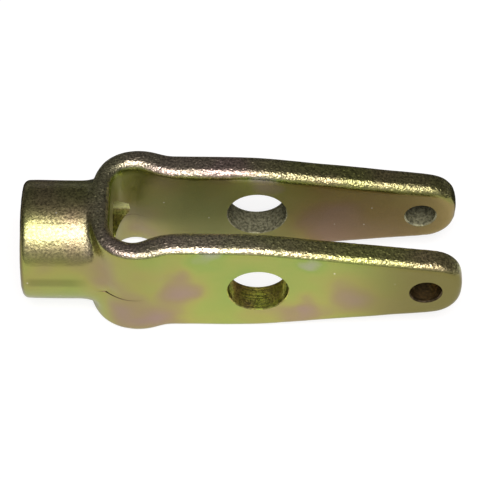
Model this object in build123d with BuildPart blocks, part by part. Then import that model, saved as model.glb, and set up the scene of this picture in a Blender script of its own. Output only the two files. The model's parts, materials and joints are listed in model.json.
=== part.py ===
"""Forged clevis rod end: a threaded socket that opens into a two-armed yoke.

One closed-die forging, drilled and tapped. Millimetres, +Z up.
X runs along the thread axis from the socket's end face towards the arm tips,
Y runs across the two arms (the direction of the pins), and the origin is the
centre of the socket's end face.
"""

from math import acos, cos, sin, sqrt
import os

from build123d import *

# ---------------------------------------------------------------- socket
socket_diameter = 25.65
socket_end_round = 1.6
socket_blend_radius = 1.5
thread_diameter = 15.875          # 5/8-18 UNF, major diameter
thread_mouth_chamfer = 0.45
thread_length = 18.0
relief_diameter = 16.8            # plain bore past the thread, breaking out into the slot
relief_past_ridge = 2.3

# ---------------------------------------------------------------- yoke
overall_length = 94.35
yoke_height = 26.2
slot_width = 14.92
arm_thickness = 6.22

# shoulder: the yoke starts as a flat behind the slot, rounds out and swells past the arms
shoulder_x = 15.2
shoulder_swell = 1.57
shoulder_corner_radius = 9.4
swell_radius = 14.0
shoulder_neck_radius = 6.0

# parting line: the lower die's shoulder is a little fuller, which leaves a step in the forging
parting_height = -1.8
die_step = 0.6

# crotch: the slot's closed end, drafted both ways from a ridge where the dies met
crotch_x = 18.9                   # at the top and bottom faces
crotch_swell = 3.05
crotch_corner_radius = 5.2
crotch_neck_radius = 22.0
ridge_x = 20.4                    # at the ridge
ridge_height = 2.2
ridge_swell = 0.6
ridge_corner_radius = 3.0

# side view of the arms: level, then tapering to a rounded tip
taper_x = 50.0
taper_blend_radius = 60.0
tip_half_height = 7.4
tip_corner_radius = 7.0
tip_end_radius = 28.0

# rounded edges of the forging
outer_rim_radius = 1.8
inner_rim_radius = 2.1

# ---------------------------------------------------------------- pin holes
pin_diameter = 12.7               # 1/2 in clevis pin
pin_clearance = 0.2
pin_x = 50.67
pin_edge_break = 0.2
link_pin_diameter = 6.35          # 1/4 in link pin
link_pin_clearance = 0.2
link_pin_spacing = 35.8           # from the clevis pin to the link pin
link_pin_chamfer = 0.3

# ---------------------------------------------------------------- worked out from the above
half_height = yoke_height / 2
half_slot = slot_width / 2
half_width = half_slot + arm_thickness
socket_radius = socket_diameter / 2
link_pin_x = pin_x + link_pin_spacing
shoulder_crest_x = shoulder_x + shoulder_corner_radius
blank_half_height = half_height + 7.5
thinnest_wall = arm_thickness + shoulder_swell - crotch_swell
outer_rim = min(outer_rim_radius, 0.385 * thinnest_wall)
inner_rim = min(inner_rim_radius, 0.486 * thinnest_wall)
past_tips = overall_length + 5


def plan_outline(level, end_x, half, swell, corner_radius, crest_radius, neck_radius):
    """A plan-view sketch at height level, symmetric about the X axis.

    It starts with a flat at end_x, rounds a corner out to half + swell, and eases back to
    half with two tangent arcs, crest then neck. It runs straight from there past the tips.
    """
    crest_x = end_x + corner_radius
    crest_y = half + swell
    turn = acos(1 - swell / (crest_radius + neck_radius))
    inflection = (crest_x + crest_radius * sin(turn), crest_y - crest_radius * (1 - cos(turn)))
    straight_start = (crest_x + (crest_radius + neck_radius) * sin(turn), half)
    with BuildSketch(Plane.XY.offset(level)) as outline:
        with BuildLine():
            end_flat = Line((end_x, 0), (end_x, crest_y - corner_radius))
            corner = TangentArc(end_flat @ 1, (crest_x, crest_y), tangent=end_flat % 1)
            crest = TangentArc(corner @ 1, inflection, tangent=corner % 1)
            TangentArc(crest @ 1, straight_start, tangent=crest % 1)
            Polyline(straight_start, (past_tips, half), (past_tips, 0))
            mirror(about=Plane.XZ)
        make_face()
    return outline.sketch


def crotch_outline(level, face_level):
    """The slot's outline at level, on the straight draft from the ridge through a face."""
    share = (level - ridge_height) / (face_level - ridge_height)
    corner_radius = ridge_corner_radius + share * (crotch_corner_radius - ridge_corner_radius)
    return plan_outline(
        level,
        ridge_x + share * (crotch_x - ridge_x),
        half_slot,
        ridge_swell + share * (crotch_swell - ridge_swell),
        corner_radius,
        corner_radius,
        crotch_neck_radius,
    )


def rim_edges(part):
    """Edges where the top, bottom and tip surfaces, which run straight across Y, meet the walls."""
    across = [f for f in part.faces() if abs(f.normal_at().Y) < 1e-6 and f.center().X > ridge_x]
    edges = [e for f in across for e in f.edges()]
    return [e for e in edges if sum(e.is_same(other) for other in edges) == 1]


def yoke_blank(flat_x):
    """Socket and yoke without the slot, with the shoulder's flat at flat_x."""
    with BuildPart() as blank:
        # plan outline as a prism, taller than the forging
        add(
            plan_outline(
                -blank_half_height,
                flat_x,
                half_width,
                shoulder_swell,
                shoulder_crest_x - flat_x,
                swell_radius,
                shoulder_neck_radius,
            )
        )
        extrude(amount=2 * blank_half_height)

        # round socket run into it, with the forging's blend where the two meet
        with BuildSketch(Plane.YZ):
            Circle(socket_radius)
        extrude(amount=shoulder_crest_x)
        blend_edges = [
            e
            for e in blank.edges(Select.LAST)
            if e.position_at(0.5).X > flat_x - socket_blend_radius
            and abs(Vector(0, e.position_at(0.5).Y, e.position_at(0.5).Z).length - socket_radius) < 1e-3
        ]
        fillet(blend_edges, socket_blend_radius)

        # side view: trims the prism to height and shapes the tapered arms
        with BuildSketch(Plane.XZ):
            tip_bow = tip_end_radius - sqrt(tip_end_radius**2 - tip_half_height**2)
            tip_corner_x = overall_length - tip_bow
            with BuildLine():
                Polyline(
                    (tip_corner_x, tip_half_height),
                    (taper_x, half_height),
                    (-1, half_height),
                    (-1, -half_height),
                    (taper_x, -half_height),
                    (tip_corner_x, -tip_half_height),
                )
                ThreePointArc(
                    (tip_corner_x, tip_half_height),
                    (overall_length, 0),
                    (tip_corner_x, -tip_half_height),
                )
            make_face()
            fillet(vertices().group_by(Axis.X)[1], taper_blend_radius)
            fillet(vertices().group_by(Axis.X)[-1], tip_corner_radius)
        extrude(amount=2 * half_width, both=True, mode=Mode.INTERSECT)
        fillet(rim_edges(blank.part), outer_rim)
        fillet(blank.edges().filter_by(GeomType.CIRCLE).group_by(Axis.X)[0], socket_end_round)
    return blank.part


with BuildPart() as clevis:
    # the two dies' halves, met at the parting line
    parting = Plane.XY.offset(parting_height)
    for flat_x, half in ((shoulder_x, Keep.TOP), (shoulder_x - die_step, Keep.BOTTOM)):
        add(split(yoke_blank(flat_x), bisect_by=parting, keep=half, mode=Mode.PRIVATE))

    # slot: lofted from the ridge to past each face, so its closed end has the dies' draft
    loft(
        sections=[
            crotch_outline(-blank_half_height, -half_height),
            crotch_outline(ridge_height, half_height),
            crotch_outline(blank_half_height, half_height),
        ],
        ruled=True,
        mode=Mode.SUBTRACT,
    )
    slot_edges = clevis.edges(Select.LAST)
    slot_rim = [e for e in rim_edges(clevis.part) if any(e.is_same(s) for s in slot_edges)]
    fillet(slot_rim, inner_rim)

    # tapped bore along X from the socket's end face, then the plain relief that opens into the slot
    for start_x, end_x, diameter in (
        (0, thread_length, thread_diameter),
        (thread_length, ridge_x + relief_past_ridge, relief_diameter),
    ):
        with BuildSketch(Plane.YZ.offset(start_x)):
            Circle(diameter / 2)
        extrude(amount=end_x - start_x, mode=Mode.SUBTRACT)
    end_circles = clevis.edges().filter_by(GeomType.CIRCLE).group_by(Axis.X)[0]
    chamfer(end_circles.sort_by(SortBy.RADIUS)[0], thread_mouth_chamfer)

    # clevis pin and link pin holes, straight through both arms, with their edges broken
    for x, diameter, edge_break in (
        (pin_x, pin_diameter + pin_clearance, pin_edge_break),
        (link_pin_x, link_pin_diameter + link_pin_clearance, link_pin_chamfer),
    ):
        with Locations(Plane.XZ.offset(half_width)):
            with Locations((x, 0)):
                Hole(diameter / 2, depth=2 * half_width)
        mouths = [
            e
            for e in clevis.edges().filter_by(GeomType.CIRCLE)
            if abs(e.arc_center.X - x) < 1e-6 and abs(e.radius - diameter / 2) < 1e-6
        ]
        chamfer(mouths, edge_break)

clevis.part.label = "clevis"

os.makedirs("parts", exist_ok=True)
export_step(clevis.part, "parts/clevis.step")
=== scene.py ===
"""A forged clevis rod end on a pale studio floor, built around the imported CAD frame.

Lengths are metres. X runs along the thread from the socket's end face to the arm tips, Y runs
across the two arms, Z is up, and the frame's origin is the centre of the socket's end face.
"""

import json
from math import radians

import bmesh
import bpy
import numpy as np
from mathutils import Matrix, Vector


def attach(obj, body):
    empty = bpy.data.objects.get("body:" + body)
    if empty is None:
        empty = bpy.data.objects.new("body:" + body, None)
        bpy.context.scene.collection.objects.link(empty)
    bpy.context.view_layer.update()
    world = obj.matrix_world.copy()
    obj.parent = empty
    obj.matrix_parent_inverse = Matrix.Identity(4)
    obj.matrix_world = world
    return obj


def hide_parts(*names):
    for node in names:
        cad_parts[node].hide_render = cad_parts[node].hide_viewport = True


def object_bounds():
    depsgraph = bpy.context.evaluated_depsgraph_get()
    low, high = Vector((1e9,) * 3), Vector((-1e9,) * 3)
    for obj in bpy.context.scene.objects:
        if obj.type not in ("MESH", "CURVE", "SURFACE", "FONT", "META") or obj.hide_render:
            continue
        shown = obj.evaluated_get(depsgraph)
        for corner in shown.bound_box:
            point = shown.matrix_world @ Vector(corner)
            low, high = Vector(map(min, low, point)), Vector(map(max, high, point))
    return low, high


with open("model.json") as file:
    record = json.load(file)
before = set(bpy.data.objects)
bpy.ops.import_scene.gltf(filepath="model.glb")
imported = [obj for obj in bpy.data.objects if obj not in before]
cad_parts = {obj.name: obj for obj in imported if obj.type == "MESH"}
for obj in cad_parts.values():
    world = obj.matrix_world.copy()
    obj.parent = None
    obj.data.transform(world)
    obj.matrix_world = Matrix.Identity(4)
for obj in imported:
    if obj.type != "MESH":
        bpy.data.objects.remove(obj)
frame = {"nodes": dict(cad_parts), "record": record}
cad_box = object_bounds()


# ---------------------------------------------------------------- camera
# A long lens that looks down over the arms onto the yoke's open side, with the socket to the
# left. It is placed by where the frame's origin lies in its own axes: right, up and back.
def camera_turn(azimuth, elevation, roll):
    """The camera's right, up and back axes as rows: level and facing +Y, turned by azimuth about
    Z, pitched down by elevation, then rolled about its own line of sight, all in degrees."""
    a, e, r = np.radians([azimuth, elevation, roll])
    forward = np.array([-np.sin(a) * np.cos(e), np.cos(a) * np.cos(e), -np.sin(e)])
    right = np.array([np.cos(a), np.sin(a), 0.0])
    down = np.cross(forward, right)
    rolled_right = np.cos(r) * right - np.sin(r) * down
    rolled_down = np.sin(r) * right + np.cos(r) * down
    return np.array([rolled_right, -rolled_down, -forward])


turn = camera_turn(azimuth=-1.8, elevation=51.374, roll=1.932)
origin_in_view = np.array([-0.046883, 0.000246, -0.493243])
place = np.eye(4)
place[:3, :3] = turn.T
place[:3, 3] = -(origin_in_view @ turn)
lens = bpy.data.cameras.new("studio_camera")
lens.sensor_width = 36.0
lens.lens = 171.09
lens.clip_start, lens.clip_end = 0.05, 20.0
camera = bpy.data.objects.new("studio_camera", lens)
camera.matrix_world = Matrix(place.tolist())
bpy.context.scene.collection.objects.link(camera)
bpy.context.scene.camera = camera
bpy.context.scene.view_settings.view_transform = "Standard"


# ---------------------------------------------------------------- floor
# A wide sheet of matt white board that the part rests on. It is only the setting.
def hex_colour(code):
    """An sRGB hex code as a linear RGBA colour."""
    srgb = np.array([int(code[i : i + 2], 16) for i in (1, 3, 5)]) / 255
    linear = np.where(srgb <= 0.04045, srgb / 12.92, ((srgb + 0.055) / 1.055) ** 2.4)
    return (*linear.tolist(), 1.0)


def add_node(tree, kind, links=None, stops=(), **settings):
    """Adds a node. Settings named after a property are set on it. Links feed its inputs, each
    with a number, a colour, another node's output, or a node whose first output is meant. Stops
    are a colour ramp's positions and hex colours."""
    made = tree.nodes.new(kind)
    for name, value in settings.items():
        setattr(made, name, value)
    for socket, value in (links or {}).items():
        if isinstance(value, bpy.types.Node):
            value = value.outputs[0]
        if isinstance(value, bpy.types.NodeSocket):
            tree.links.new(value, made.inputs[socket])
        else:
            made.inputs[socket].default_value = value
    if stops:
        elements = made.color_ramp.elements
        for element, (position, code) in zip(elements, (stops[0], stops[-1])):
            element.position, element.color = position, hex_colour(code)
        for position, code in stops[1:-1]:
            elements.new(position).color = hex_colour(code)
    return made


def new_material(name):
    """An empty material and its node tree."""
    material = bpy.data.materials.new(name)
    material.use_nodes = True
    material.node_tree.nodes.clear()
    return material, material.node_tree


def mesh_object(name, points, faces):
    """A mesh object at the origin from arrays of points and of each face's corners."""
    mesh = bpy.data.meshes.new(name)
    mesh.from_pydata(points.tolist(), [], faces.tolist())
    made = bpy.data.objects.new(name, mesh)
    bpy.context.scene.collection.objects.link(made)
    return made


def flat_sheet(name, low, high, level):
    """A level rectangle, from its lowest and highest corner in X and Y, at one height."""
    (x0, y0), (x1, y1) = low, high
    rim = [[x0, y0, level], [x1, y0, level], [x1, y1, level], [x0, y1, level]]
    return mesh_object(name, np.array(rim, float), np.array([[0, 1, 2, 3]]))


def glowing_paper(tree, glow, grey):
    """White paper that glows by itself, and on which light and shadow show only as far as its
    grey reflects them."""
    own = add_node(tree, "ShaderNodeEmission", {"Color": hex_colour("#FFFFFF"), "Strength": glow})
    lit = add_node(tree, "ShaderNodeBsdfDiffuse", {"Color": hex_colour(grey)})
    return add_node(tree, "ShaderNodeAddShader", {0: own, 1: lit})


# Matt white board, uncoated: it spreads light evenly and has no gloss. Seen directly it is close
# to pure white with a faint shadow, and in reflections it is a little darker.
board, tree = new_material("matt_white_board")
paper = add_node(tree, "ShaderNodeBsdfDiffuse", {"Color": hex_colour("#F2F2F2")})
rays = add_node(tree, "ShaderNodeLightPath")
mirrored = add_node(
    tree, "ShaderNodeMath",
    {0: rays.outputs["Is Glossy Ray"], 1: rays.outputs["Is Transmission Ray"]},
    operation="ADD", use_clamp=True,
)
in_reflections = glowing_paper(tree, glow=0.20, grey="#DADADA")
seen_directly = glowing_paper(tree, glow=0.84, grey="#898989")
shade = add_node(tree, "ShaderNodeMixShader", {0: mirrored, 1: paper, 2: in_reflections})
shade = add_node(
    tree, "ShaderNodeMixShader", {0: rays.outputs["Is Camera Ray"], 1: shade, 2: seen_directly}
)
add_node(tree, "ShaderNodeOutputMaterial", {"Surface": shade})
floor_level = cad_box[0].z
floor = flat_sheet("floor", (-3, -3), (3, 3), floor_level)
floor.data.materials.append(board)


# ---------------------------------------------------------------- dark card
# A sheet of dark card flat on the board behind the part. It darkens what the part's back edges
# mirror, and shows in nothing but reflections.
card_thickness = 0.1e-3
# Matt black card, uncoated: it gives back almost no light and has no gloss.
black, tree = new_material("matt_black_card")
soot = add_node(tree, "ShaderNodeBsdfDiffuse", {"Color": hex_colour("#3F3F3F")})
add_node(tree, "ShaderNodeOutputMaterial", {"Surface": soot})
card = flat_sheet("dark_card", (-0.15, 0.015), (0.25, 0.25), floor_level + card_thickness)
card.data.materials.append(black)
card.visible_camera = card.visible_shadow = card.visible_diffuse = False


# ---------------------------------------------------------------- room
# The room round the part: pale in front, dark behind and at the sides, so that the plated steel
# has something light and something dark to mirror.
front_level, back_level, side_share = 0.45, 0.04, 0.2
world = bpy.data.worlds.new("studio_room")
bpy.context.scene.world = world
world.use_nodes = True
tree = world.node_tree
tree.nodes.clear()
direction = add_node(tree, "ShaderNodeTexCoord").outputs["Generated"]
direction = add_node(tree, "ShaderNodeSeparateXYZ", {0: direction})
depth = add_node(
    tree, "ShaderNodeMapRange",
    {
        "Value": direction.outputs["Y"], "From Min": -0.35, "From Max": 0.25,
        "To Min": front_level, "To Max": back_level,
    },
    interpolation_type="SMOOTHSTEP",
)
aside = add_node(tree, "ShaderNodeMath", {0: direction.outputs["X"]}, operation="ABSOLUTE")
aside = add_node(
    tree, "ShaderNodeMapRange",
    {"Value": aside, "From Min": 0.45, "From Max": 0.85, "To Min": 1.0, "To Max": side_share},
    interpolation_type="SMOOTHSTEP",
)
brightness = add_node(tree, "ShaderNodeMath", {0: depth, 1: aside}, operation="MULTIPLY")
room = add_node(
    tree, "ShaderNodeBackground", {"Color": hex_colour("#FFFFFF"), "Strength": brightness}
)
add_node(tree, "ShaderNodeOutputWorld", {"Surface": room})


# ---------------------------------------------------------------- soft box
# One large soft box high in front, a metre from the part and facing it. Its long highlights run
# along the rims and the socket.
part_centre = np.array([0.047, 0.0, 0.0])
box_elevation, box_distance = radians(64), 1.0
toward_box = np.array([0.0, -np.cos(box_elevation), np.sin(box_elevation)])
lamp = bpy.data.lights.new("key_soft_box", "AREA")
lamp.shape = "RECTANGLE"
lamp.size, lamp.size_y = 0.72, 0.52
lamp.energy = 10.0
lamp.color = hex_colour("#FFF6F4")[:3]
soft_box = bpy.data.objects.new("key_soft_box", lamp)
soft_box.location = part_centre + toward_box * box_distance
soft_box.rotation_euler = Vector(toward_box).to_track_quat("Z", "Y").to_euler()
soft_box.visible_camera = False
bpy.context.scene.collection.objects.link(soft_box)


# ---------------------------------------------------------------- forging
# The clevis itself: one closed-die steel forging, shot blasted clean of scale, drilled and
# tapped, then zinc plated and passivated in yellow chromate. It takes the CAD node's shape, with
# the slightly uneven skin and the soft run-outs that the dies leave.
holes = {m["name"]: m for m in frame["record"]["mounts"]}
parting = -1.8e-3       # height of the line where the dies met


def rise(value, low, high):
    """0 up to low, 1 from high on, and a smooth rise between them: 3 t^2 - 2 t^3, where t is the
    share of the way."""
    share = np.clip((value - low) / (high - low), 0, 1)
    return share * share * (3 - 2 * share)


def fall(value, low, high):
    """1 up to low, 0 from high on, and a smooth fall between them."""
    return rise(-value, -high, -low)


mesh = frame["nodes"]["clevis"].data.copy()
bm = bmesh.new()
bm.from_mesh(mesh)
weld, on_plane = 2e-6, 1e-6
bmesh.ops.remove_doubles(bm, verts=bm.verts, dist=weld)
bmesh.ops.dissolve_degenerate(bm, edges=bm.edges, dist=weld)
# the step at the parting line runs out to nothing on the shoulder's crest: its upper and lower
# edges are drawn apart there, and a cut above and one below the line carry them on
apart, crest = 0.07e-3, 24.59e-3
step_edges = [
    corner for corner in bm.verts
    if abs(corner.co.z - parting) < on_plane
    and 20.5e-3 < corner.co.x < crest
    and abs(corner.co.y) > 12e-3
]
for corner in step_edges:
    lean = sum(edge.other_vert(corner).co.z - parting for edge in corner.link_edges)
    corner.co.z += apart * np.sign(lean) * rise(corner.co.x, 20.5e-3, 22.5e-3)
for height in (parting - apart, parting + apart):
    past = [
        face for face in bm.faces
        if 24.6e-3 < face.calc_center_median().x < 32e-3
        and abs(face.calc_center_median().y) > 10e-3
    ]
    past += list({e for face in past for e in face.edges} | {v for face in past for v in face.verts})
    bmesh.ops.bisect_plane(
        bm, geom=past, dist=on_plane, plane_co=(0.0, 0.0, height), plane_no=(0.0, 0.0, 1.0)
    )
bmesh.ops.triangulate(bm, faces=bm.faces)
bm.to_mesh(mesh)
bm.free()
points = np.empty(len(mesh.vertices) * 3, np.float32)
mesh.vertices.foreach_get("co", points)
points = points.reshape(-1, 3).astype(float)
triangles = np.empty(len(mesh.polygons) * 3, np.int32)
mesh.polygons.foreach_get("vertices", triangles)
triangles = triangles.reshape(-1, 3)


def split_long_edges(points, triangles, longest):
    """Halves every edge longer than the limit, again and again until none is, and splits each
    triangle beside them in two, three or four, by the shorter diagonal where there is a choice."""
    while True:
        ends = np.sort(np.stack([triangles, np.roll(triangles, -1, 1)], 2), 2).reshape(-1, 2)
        edges, of_side = np.unique(ends, axis=0, return_inverse=True)
        first, second = points[edges[:, 0]], points[edges[:, 1]]
        cut = np.linalg.norm(first - second, axis=1) > longest
        if not cut.any():
            return points, triangles
        middle = np.full(len(edges), -1)
        middle[cut] = len(points) + np.arange(cut.sum())
        points = np.concatenate([points, 0.5 * (first + second)[cut]])
        middle = middle[of_side.reshape(-1, 3)]
        halved = (middle >= 0).sum(1)
        # each triangle a b c is turned so that its cut sides come first, with middles p q r
        turn_by = np.where(halved == 1, (middle >= 0).argmax(1), 0)
        turn_by = np.where(halved == 2, ((middle < 0).argmax(1) + 1) % 3, turn_by)
        order = (turn_by[:, None] + np.arange(3)) % 3
        a, b, c = np.take_along_axis(triangles, order, 1).T
        p, q, r = np.take_along_axis(middle, order, 1).T
        one, two, three = halved == 1, halved == 2, halved == 3
        p_to_c = np.linalg.norm(points[p] - points[c], axis=1)
        a_to_q = np.linalg.norm(points[a] - points[q], axis=1)
        by_pc, by_aq = two & (p_to_c <= a_to_q), two & (p_to_c > a_to_q)
        triangles = np.concatenate(
            [
                triangles[halved == 0],
                np.stack([a, p, c], 1)[one], np.stack([p, b, c], 1)[one],
                np.stack([p, b, q], 1)[two],
                np.stack([p, q, c], 1)[by_pc], np.stack([a, p, c], 1)[by_pc],
                np.stack([p, q, a], 1)[by_aq], np.stack([a, q, c], 1)[by_aq],
                np.stack([a, p, r], 1)[three], np.stack([p, b, q], 1)[three],
                np.stack([r, q, c], 1)[three], np.stack([p, q, r], 1)[three],
            ]
        )


longest_edge = 1.2e-3
points, triangles = split_long_edges(points, triangles, longest_edge)
x, y, z = points.T


def relax(points, triangles, share, rounds):
    """Moves every point towards the mean of its neighbours, each round by its own share."""
    ends = np.concatenate([triangles, np.roll(triangles, -1, 1)]).reshape(2, -1)
    used = (share[ends] > 0).any(0)
    here, there = ends[:, used]
    degree = np.maximum(np.bincount(here, minlength=len(points)), 1)
    for _ in range(rounds):
        mean = np.stack(
            [np.bincount(here, points[there, k], len(points)) / degree for k in range(3)], 1
        )
        points = points + (mean - points) * share[:, None]
    return points


# the socket runs out into the shoulders in a wide blend, except over the parting line
blended = rise(x, 11.5e-3, 14.5e-3) * fall(x, 18e-3, 20.5e-3) * rise(np.abs(y), 8e-3, 10e-3)
blended *= fall(np.abs(z), 7e-3, 10.5e-3) * rise(np.abs(z - parting), 0.2e-3, 1.4e-3)
points = relax(points, triangles, 0.5 * blended, rounds=60)


def past_drill(points, hole):
    """How far each point lies outside a drilled hole's wall: its distance from the hole's axis
    less the radius."""
    axis = np.abs(hole["axis"])
    off = (points - np.array(hole["pos_m"])) * (1 - axis)
    return np.linalg.norm(off, axis=1) - hole["dims"]["r_mm"] / 1000


# the forged skin is all but the drilled walls and their edges. The bore ends at the slot, and
# past there its wall counts as far off
bore_end, far_off = 23e-3, 1.0
from_link = past_drill(points, holes["link_pin_bore"])
from_pins = np.minimum(past_drill(points, holes["pin_bore"]), from_link)
from_thread = np.where(x < bore_end, past_drill(points, holes["rod_thread"]), far_off)
forged = rise(from_pins, 0.35e-3, 1.6e-3) * rise(from_thread, 0.55e-3, 1.6e-3)

# its sharp creases are softened, except the step's at the parting line
stepped = fall(np.abs(z - parting), 0.3e-3, 1.2e-3) * fall(x, 27e-3, 28e-3)
points = relax(points, triangles, 0.4 * forged * (1 - stepped), rounds=6)


def corner_normals(points, triangles):
    """Each vertex's normal: the mean of its triangles' normals, weighted by their areas."""
    a, b, c = points[triangles].transpose(1, 0, 2)
    across = np.cross(b - a, c - a)
    normals = np.zeros_like(points)
    for corner in range(3):
        np.add.at(normals, triangles[:, corner], across)
    return normals / np.maximum(np.linalg.norm(normals, axis=1), 1e-20)[:, None]


def die_waves(points, shortest, longest, seed):
    """The unevenness of a forged skin: 40 plane sine waves in random directions, of lengths
    between the two given, summed and divided by the root of 40, so that most of it lies between
    -1 and 1."""
    count = 40
    random = np.random.default_rng(seed)
    direction = random.normal(size=(count, 3))
    direction /= np.linalg.norm(direction, axis=1)[:, None]
    length = np.exp(random.uniform(np.log(shortest), np.log(longest), count))
    turns = points @ (direction / length[:, None]).T + random.uniform(0, 1, count)
    return np.sin(2 * np.pi * turns).sum(1) / np.sqrt(count)


# broad die wear and fine scale pits, both only ever inwards
wear_depth, pit_depth = 0.030e-3, 0.006e-3
sunk = wear_depth * (1 - die_waves(points, 7e-3, 22e-3, seed=5))
sunk = np.maximum(sunk + pit_depth * (1 - die_waves(points, 1.6e-3, 4e-3, seed=8)), 0)
# flash trimmed off beside the step: a shallow trough above the parting line on the shoulders,
# deepest on the socket's side
beside = rise(x, 16.5e-3, 19e-3) * fall(x, 24.5e-3, 27e-3) * (np.abs(y) > 11e-3)
beside *= 0.05e-3 + 0.13e-3 * fall(x, 20e-3, 22e-3)
sunk += beside * rise(z, parting - apart, parting + apart) * fall(z, -1.6e-3, 2.5e-3)
points = points - corner_normals(points, triangles) * (sunk * forged)[:, None]

forging = mesh_object("forging", points, triangles)
forging.data.polygons.foreach_set("use_smooth", np.ones(len(triangles), bool))
forging.data.set_sharp_from_angle(angle=radians(32))


def mark(obj, name, values):
    """Stores a number for each vertex, which the material reads by that name."""
    layer = obj.data.attributes.new(name, "FLOAT", "POINT")
    layer.data.foreach_set("value", values.astype(np.float32))


# Where the finish differs: the upper sides and rims, which were blasted harder and rinsed cleaner,
# the walls inside the slot, and the socket; and where shade and light are painted into the film's
# colour. Places are metres along X, Y and Z.
x, y, z = points.T
facing_up = corner_normals(points, triangles)[:, 2]
upper = rise(facing_up, 0.42, 0.72) * forged
in_slot = fall(np.abs(y), 10.5e-3, 11.5e-3) * fall(facing_up, 0.1, 0.35) * (x > 17e-3)
on_socket = fall(x, 13e-3, 17e-3)
front_side = y < -11e-3
mark(forging, "upward", upper)

# how deep the blasted grain is: a trace of it on the walls, and less on the socket
wall_grain, socket_less = 0.15, 0.68
blasted = wall_grain + (1 - wall_grain) * upper
mark(forging, "blasted", blasted * (1 - socket_less * on_socket))

# roughness: 0.23 on plain walls, more where it was blasted and inside the slot, and most on
# the closed end's upper half, where the film is matt
matt = in_slot * fall(x, 27e-3, 38e-3) * rise(z, -6e-3, 0.5e-3)
grain_roughness = 0.11 + 0.04 * on_socket
mark(forging, "dull", 0.23 + grain_roughness * upper + 0.19 * in_slot + 0.13 * matt)

# how metallic it looks: the matt film hides some of the zinc
mark(forging, "plated", 0.96 - 0.28 * matt)

# painted shade: the film is darkened towards the tips on the front, standing in for the darker floor
# mirrored there; near the tips on the back arm's inner side it is browner
tip_shade_and_brown = rise(x, 62e-3, 86e-3) * front_side
facing_slot = (y > 3e-3) & (y < 11e-3)
mark(forging, "tip_shade_and_brown", tip_shade_and_brown + 0.7 * rise(x, 66e-3, 80e-3) * facing_slot)

# it was rinsed off most near the shoulders, and hardly on the socket
mark(forging, "rinsed", fall(x, 38e-3, 66e-3) * (0.1 + 0.9 * rise(x, 12e-3, 18e-3)))

# it is tanned inside the slot
mark(forging, "tanned", 0.55 * in_slot)

# painted light: the film is brightened on the front's flat, low down beside the closed end, where it
# stands in for the bright floor mirrored there, and on the front arm's top, where it is a painted
# highlight
flat = rise(x, 26e-3, 38e-3) * fall(x, 70e-3, 82e-3) * front_side
low = in_slot * fall(x, 30e-3, 37e-3) * fall(z, -5e-3, 0)
front_top = upper * (y < -5e-3) * rise(x, 26e-3, 34e-3)
mark(forging, "painted_brightness", 1 + 0.11 * flat + 0.27 * low + 0.36 * front_top)

# Zinc plate under a yellow chromate film, dipped and hung to dry on a shot-blasted forging. To
# the eye it is a satin metal under a thin clear coat: yellow green, going through straw to a
# pinkish mauve where the film dried thicker, and greyer and grainy on the upper sides.
chromate, tree = new_material("yellow_chromate_zinc_on_forged_steel")
where = add_node(tree, "ShaderNodeTexCoord").outputs["Object"]
marked = {
    name: add_node(tree, "ShaderNodeAttribute", attribute_name=name).outputs["Fac"]
    for name in ("upward", "blasted", "dull", "plated", "tip_shade_and_brown", "rinsed", "tanned", "painted_brightness")
}

# the film's thickness drifts over 13 mm or so, between 0 and 1
drift_size = 13e-3
drift = add_node(
    tree, "ShaderNodeTexNoise",
    {"Vector": where, "Scale": 1 / drift_size, "Detail": 1.5, "Roughness": 0.45},
)
# where it pooled or drained off as the part hung: centre, reach, and how much is added. The
# spots' outlines stray by up to 3.5 mm either way, in bends 6 mm long.
pooled = (
    ((0.0240, -0.0150, -0.0065), 0.0110, 0.30),     # front, below the step
    ((0.0355, -0.0137, -0.0010), 0.0070, 0.26),     # front, past the shoulder
    ((0.0620, -0.0137, -0.0050), 0.0055, 0.24),     # front, past the pin hole and low
    ((0.0700, -0.0137, 0.0008), 0.0070, 0.10),      # front, halfway to the link hole
    ((0.0740, -0.0137, -0.0060), 0.0090, 0.16),     # front, low towards the tip
    ((0.0400, -0.0137, 0.0107), 0.0065, -0.42),     # front, under the rim
    ((0.0595, -0.0137, 0.0098), 0.0055, -0.42),     # front, under the rim
    ((0.0510, 0.0075, 0.0105), 0.0065, -0.45),      # back arm's inner side, under the rim
    ((0.0240, 0.0080, -0.0020), 0.0100, 0.25),      # back arm's inner side, at the closed end
    ((0.0720, 0.0075, -0.0050), 0.0170, 0.50),      # back arm's inner side, low near the tip
    ((0.0520, -0.0137, 0.0040), 0.0120, -0.14),     # front, round the pin hole
    ((0.0450, 0.0075, 0.0000), 0.0150, -0.24),      # back arm's inner side, middle
)
bend_size, stray = 6e-3, 7e-3
bends = add_node(
    tree, "ShaderNodeTexNoise",
    {"Vector": where, "Scale": 1 / bend_size, "Detail": 1.0, "Roughness": 0.4},
)
strayed = add_node(
    tree, "ShaderNodeVectorMath", {0: bends.outputs["Color"], 1: (0.5, 0.5, 0.5)},
    operation="SUBTRACT",
)
strayed = add_node(tree, "ShaderNodeVectorMath", {0: strayed, "Scale": stray}, operation="SCALE")
strayed = add_node(tree, "ShaderNodeVectorMath", {0: strayed, 1: where}, operation="ADD")
thickness = drift
for spot, reach, added in pooled:
    off = add_node(tree, "ShaderNodeVectorMath", {0: strayed, 1: spot}, operation="DISTANCE")
    near = add_node(
        tree, "ShaderNodeMapRange",
        {
            "Value": off.outputs["Value"], "From Min": 0.1 * reach, "From Max": 1.15 * reach,
            "To Min": added, "To Max": 0.0,
        },
        interpolation_type="SMOOTHSTEP",
    )
    thickness = add_node(tree, "ShaderNodeMath", {0: thickness, 1: near}, operation="ADD")

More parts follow.
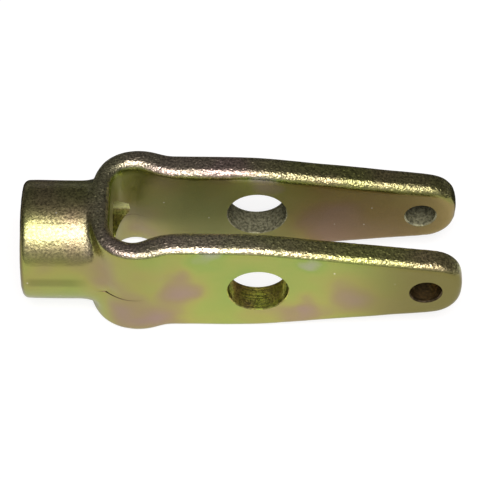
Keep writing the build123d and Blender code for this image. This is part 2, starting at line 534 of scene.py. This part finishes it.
# the film's colour: by its thickness on the walls, from drained to pooled, and a thinner and
# greyer one on the upper sides, palest where it was rinsed bare
on_walls = add_node(
    tree, "ShaderNodeValToRGB", {"Fac": thickness},
    stops=(
        (0.0, "#A8A49E"), (0.25, "#90A54C"), (0.45, "#9BA64F"), (0.60, "#A2A053"),
        (0.74, "#9C8C62"), (0.86, "#9C8676"), (1.0, "#A08888"),
    ),
)
thin = add_node(
    tree, "ShaderNodeValToRGB", {"Fac": drift},
    stops=((0.35, "#949759"), (0.5, "#999663"), (0.65, "#9F916D")),
)
bare = add_node(
    tree, "ShaderNodeValToRGB", {"Fac": drift},
    stops=((0.35, "#A5A280"), (0.5, "#AAA08A"), (0.65, "#B09C94")),
)
tan = add_node(
    tree, "ShaderNodeMix",
    {0: marked["rinsed"], 6: hex_colour("#A88C58"), 7: hex_colour("#A49C70")}, data_type="RGBA",
).outputs[2]
on_top = add_node(
    tree, "ShaderNodeMix", {0: marked["rinsed"], 6: thin, 7: bare}, data_type="RGBA"
).outputs[2]


def painted_streak(tree, where, height, half_width, along, strength):
    """How strong a painted dark streak along X is: at its strength over the middle two fifths of its
    width and fading to its sides, and along its length the four values are where it starts, is full,
    starts to fade and is gone."""
    at = add_node(tree, "ShaderNodeSeparateXYZ", {0: where})
    off = add_node(tree, "ShaderNodeMath", {0: at.outputs["Z"], 1: height}, operation="SUBTRACT")
    off = add_node(tree, "ShaderNodeMath", {0: off}, operation="ABSOLUTE")
    level = add_node(
        tree, "ShaderNodeMapRange",
        {
            "Value": off, "From Min": 0.4 * half_width, "From Max": half_width,
            "To Min": strength, "To Max": 0.0,
        },
    )
    for none, full in (along[:2], along[:1:-1]):
        share = add_node(
            tree, "ShaderNodeMapRange", {"Value": at.outputs["X"], "From Min": none, "From Max": full}
        )
        level = add_node(tree, "ShaderNodeMath", {0: level, 1: share}, operation="MULTIPLY")
    return level


# painted shade and reflection: a dark hair line along the step stands in for the shade in its crease,
# a dark band along the socket's side is a painted reflection of something dark, and the socket's end
# edge is darkened as a painted reflection of the dark room at the side
crease_shade_line = painted_streak(
    tree, where, height=parting, half_width=0.13e-3, along=(16e-3, 17.5e-3, 21e-3, 27e-3),
    strength=1.0,
)
# painted reflection: a dark band along the socket's side
socket_reflection_band = painted_streak(
    tree, where, height=0.9e-3, half_width=1.6e-3, along=(0.5e-3, 2.5e-3, 11e-3, 15e-3),
    strength=0.42,
)
# painted reflection: the socket's end edge is darkened where it mirrors the dark room at the side
socket_end_shade = add_node(tree, "ShaderNodeSeparateXYZ", {0: where})
socket_end_shade = add_node(
    tree, "ShaderNodeMapRange",
    {
        "Value": socket_end_shade.outputs["X"], "From Min": 0.3e-3, "From Max": 1.0e-3,
        "To Min": 0.8, "To Max": 0.0,
    },
)
# loose zinc dust under the film: a pale speck about 0.3 mm across every 4 mm, which is larger
# than the real ones, so that a few show
dust_spacing = 4.2e-3
dust = add_node(
    tree, "ShaderNodeTexVoronoi", {"Vector": where, "Scale": 1 / dust_spacing, "Randomness": 1.0}
)
dust = add_node(
    tree, "ShaderNodeMapRange",
    {
        "Value": dust.outputs["Distance"], "From Min": 0.025, "From Max": 0.055,
        "To Min": 0.8, "To Max": 0.0,
    },
)
film = on_walls
for cover, over in (
    # painted shade on the front towards the tips, and a browner film on the back arm's inner side
    (marked["tip_shade_and_brown"], hex_colour("#7C7638")),
    (marked["tanned"], tan),
    (marked["upward"], on_top),
    # painted shade in the step's crease
    (crease_shade_line, hex_colour("#5A4032")),
    # painted reflection along the socket's side
    (socket_reflection_band, hex_colour("#5A5A1E")),
    # painted reflection on the socket's end edge
    (socket_end_shade, hex_colour("#5C4426")),
    (dust, hex_colour("#F2EFD8")),
):
    film = add_node(
        tree, "ShaderNodeMix", {0: cover, 6: film, 7: over}, data_type="RGBA"
    ).outputs[2]

# on the upper sides the blasted pits hold more film and the peaks less: light and dark specks
# 0.5 mm across, coarser than the real grit's 0.2 mm marks, so that they show
speck_size = 0.5e-3
specks = add_node(
    tree, "ShaderNodeTexNoise",
    {"Vector": where, "Scale": 1 / speck_size, "Detail": 1.0, "Roughness": 0.7},
)
specks = add_node(
    tree, "ShaderNodeMapRange",
    {"Value": specks, "From Min": 0.32, "From Max": 0.68, "To Min": 0.55, "To Max": 1.6},
)
level = add_node(
    tree, "ShaderNodeMapRange", {"Value": marked["upward"], "To Min": 1.0, "To Max": specks}
)
# painted light: the film is brightened where the painted brightness mark says
level = add_node(tree, "ShaderNodeMath", {0: level, 1: marked["painted_brightness"]}, operation="MULTIPLY")
film = add_node(tree, "ShaderNodeVectorMath", {0: film, "Scale": level}, operation="SCALE")

# the blasted skin's relief: grit marks, drawn 0.4 mm across instead of 0.2 so that they show,
# and shallow dents 0.9 mm across
grit_size, grit_depth = 0.42e-3, 0.14e-3
dent_size, dent_depth = 0.9e-3, 0.08e-3
grit = add_node(
    tree, "ShaderNodeTexNoise",
    {"Vector": where, "Scale": 1 / grit_size, "Detail": 1.0, "Roughness": 0.6},
)
relief = add_node(
    tree, "ShaderNodeBump", {"Height": grit, "Strength": marked["blasted"], "Distance": grit_depth}
)
dents = add_node(
    tree, "ShaderNodeTexVoronoi", {"Vector": where, "Scale": 1 / dent_size, "Randomness": 1.0}
)
relief = add_node(
    tree, "ShaderNodeBump",
    {
        "Height": dents.outputs["Distance"], "Strength": marked["blasted"],
        "Distance": dent_depth, "Normal": relief,
    },
)
metal = add_node(
    tree, "ShaderNodeBsdfPrincipled",
    {
        "Base Color": film, "Metallic": marked["plated"], "Roughness": marked["dull"],
        "Specular Tint": hex_colour("#D2D2C4"), "Normal": relief,
        "Coat Weight": 0.6, "Coat Roughness": 0.2, "Coat IOR": 1.5, "Coat Normal": relief,
    },
)
add_node(tree, "ShaderNodeOutputMaterial", {"Surface": metal})
forging.data.materials.append(chromate)
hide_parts("clevis")
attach(forging, "root")


# ---------------------------------------------------------------- drilled holes
# The pin holes through both arms, the bore and its relief: drilled through the forging before
# plating, with their edges broken. They are part of the forging's mesh, so only their finish
# is made here.
drilled_shine = 0.88
in_pin_holes = from_pins < 0.4e-3
in_back_arm = y > 0
at_link_hole = past_drill(points, holes["link_pin_bore"]) < 0.6e-3
front_mouth = y < -13.3e-3

# the drill's feed runs across the arms in the pin holes, and along the thread in the bore
mark(forging, "along_drill", np.where(in_pin_holes, y, x) * 1000)
mark(forging, "link_hole", 1.0 * at_link_hole)
# painted shade: the front mouth of the link hole is darkened where its wall mirrors the bright floor
mark(forging, "link_mouth_shade", 1.0 * at_link_hole * front_mouth)
mark(forging, "rear_hole", 1.0 * in_pin_holes * in_back_arm)

# painted highlight: where the bore breaks out into the slot, the upper half of its back wall faces
# the light, and it is given a near-white colour and little metal so that it shows lit
breakout_highlight = rise(x, 18.6e-3, 19.4e-3) * rise(y, 2e-3, 4e-3) * ~in_pin_holes
breakout_highlight *= rise(z, 0.1e-3, 1.0e-3)
mark(forging, "breakout_highlight", breakout_highlight)
mark(forging, "shine", drilled_shine - 0.84 * breakout_highlight - 0.3 * in_pin_holes * in_back_arm)

# the broken edges have the drilled finish too: how far out from the walls they reach
pin_edge, bore_edge = 0.32e-3, 0.48e-3
drilled_wall = (from_pins < pin_edge) | (from_thread < bore_edge)
forging.data.polygons.foreach_set(
    "material_index", drilled_wall[triangles].all(1).astype(np.int32)
)

# Zinc plate under yellow chromate, on walls cut by a twist drill. To the eye it is a brighter
# and smoother metal than the forged skin, olive to straw, with fine rings across the hole.
drilled, tree = new_material("yellow_chromate_zinc_on_drilled_steel")
where = add_node(tree, "ShaderNodeTexCoord").outputs["Object"]
marked = {
    name: add_node(tree, "ShaderNodeAttribute", attribute_name=name).outputs["Fac"]
    for name in ("along_drill", "link_hole", "link_mouth_shade", "rear_hole", "breakout_highlight", "shine")
}

# feed marks 0.45 mm apart, where the real ones are 0.2, so that they show
rings_per_mm, ring_depth = 2.2, 0.06e-3
rings = add_node(
    tree, "ShaderNodeTexNoise",
    {"W": marked["along_drill"], "Scale": rings_per_mm, "Detail": 1.0}, noise_dimensions="1D",
)
rings = add_node(
    tree, "ShaderNodeBump", {"Height": rings, "Strength": 0.6, "Distance": ring_depth}
)
# the film drifts over 3.5 mm, browner in the link holes and greyer in the back arm's holes
film_size = 3.5e-3
film = add_node(
    tree, "ShaderNodeTexNoise", {"Vector": where, "Scale": 1 / film_size, "Detail": 2.0}
)
film = add_node(
    tree, "ShaderNodeValToRGB", {"Fac": film},
    stops=((0.35, "#A6B054"), (0.5, "#AAA85A"), (0.65, "#A89A62")),
)
for name, code in (
    ("link_hole", "#84704C"),
    # painted shade at the link hole's front mouth
    ("link_mouth_shade", "#4C4130"),
    ("rear_hole", "#96967A"),
    # painted highlight on the bore's breakout
    ("breakout_highlight", "#F4F8A8"),
):
    film = add_node(
        tree, "ShaderNodeMix", {0: marked[name], 6: film, 7: hex_colour(code)}, data_type="RGBA"
    ).outputs[2]
# the drill tore the steel in specks, drawn 0.6 mm across so that they show, and hardly any
# where the bore breaks out
tear_size = 0.6e-3
darkest = add_node(
    tree, "ShaderNodeMapRange", {"Value": marked["breakout_highlight"], "To Min": 0.6, "To Max": 0.95}
)
brightest = add_node(
    tree, "ShaderNodeMapRange", {"Value": marked["breakout_highlight"], "To Min": 1.5, "To Max": 1.1}
)
torn = add_node(
    tree, "ShaderNodeTexNoise",
    {"Vector": where, "Scale": 1 / tear_size, "Detail": 1.0, "Roughness": 0.7},
)
torn = add_node(
    tree, "ShaderNodeMapRange",
    {
        "Value": torn, "From Min": 0.35, "From Max": 0.65,
        "To Min": darkest, "To Max": brightest,
    },
)
film = add_node(tree, "ShaderNodeVectorMath", {0: film, "Scale": torn}, operation="SCALE")
bright = add_node(
    tree, "ShaderNodeBsdfPrincipled",
    {
        "Base Color": film, "Metallic": marked["shine"], "Roughness": 0.26,
        "Specular Tint": hex_colour("#70763E"), "Normal": rings,
        "Coat Weight": 0.12, "Coat Roughness": 0.12, "Coat IOR": 1.5,
    },
)
add_node(tree, "ShaderNodeOutputMaterial", {"Surface": bright})
forging.data.materials.append(drilled)


# ---------------------------------------------------------------- thread
# The tapped thread inside the socket, 5/8-18: right-handed ridges that stand in from the bore's
# wall in the same plated steel. They fade out where the tap began and where it ran out.
pitch, ridge_height = 25.4e-3 / 18, 0.76e-3
root_share, crest_share = 0.44, 0.125       # half widths of a ridge, as shares of the pitch
sunk_in = 0.04e-3                           # how far a ridge's foot lies inside the wall
wall = holes["rod_thread"]["dims"]["r_mm"] / 1000
first, last = 0.9e-3, holes["rod_thread"]["dims"]["length_mm"] / 1000
turns = (last - first) / pitch
steps_per_turn = 80
angle = np.linspace(0, 2 * np.pi * turns, int(steps_per_turn * turns))
lead_in, run_out = 2.5, 4.0                  # radians over which the ridge comes and goes
full = rise(angle, 0, lead_in) * fall(angle, angle[-1] - run_out, angle[-1])
# a ridge's section has four corners, foot, crest, crest and foot, carried along the helix: x
# goes up by a pitch a turn while the section turns about the X axis
offset = pitch * np.array([-root_share, -crest_share, crest_share, root_share])
depth = np.array([-sunk_in, ridge_height, ridge_height, -sunk_in])
ridge_x = first + pitch * angle[:, None] / (2 * np.pi) + offset
ridge_r = wall - np.where(depth > 0, depth * full[:, None], depth)
ridge = np.stack(
    [ridge_x, ridge_r * np.cos(angle)[:, None], ridge_r * np.sin(angle)[:, None]], 2
)
index = np.arange(len(ridge) * 4).reshape(-1, 4)
here, there = index[:-1], index[1:]
sides = np.stack([here, np.roll(here, -1, 1), np.roll(there, -1, 1), there], 2).reshape(-1, 4)
caps = np.stack([index[0, ::-1], index[-1]])
ridge = ridge.reshape(-1, 3)
thread = mesh_object("thread", ridge, np.concatenate([sides, caps]))
thread.data.polygons.foreach_set("use_smooth", np.ones(len(thread.data.polygons), bool))
thread.data.set_sharp_from_angle(angle=radians(30))
mark(thread, "along_drill", ridge[:, 0] * 1000)
mark(thread, "shine", np.full(len(ridge), drilled_shine))
thread.data.materials.append(drilled)
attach(thread, "root")
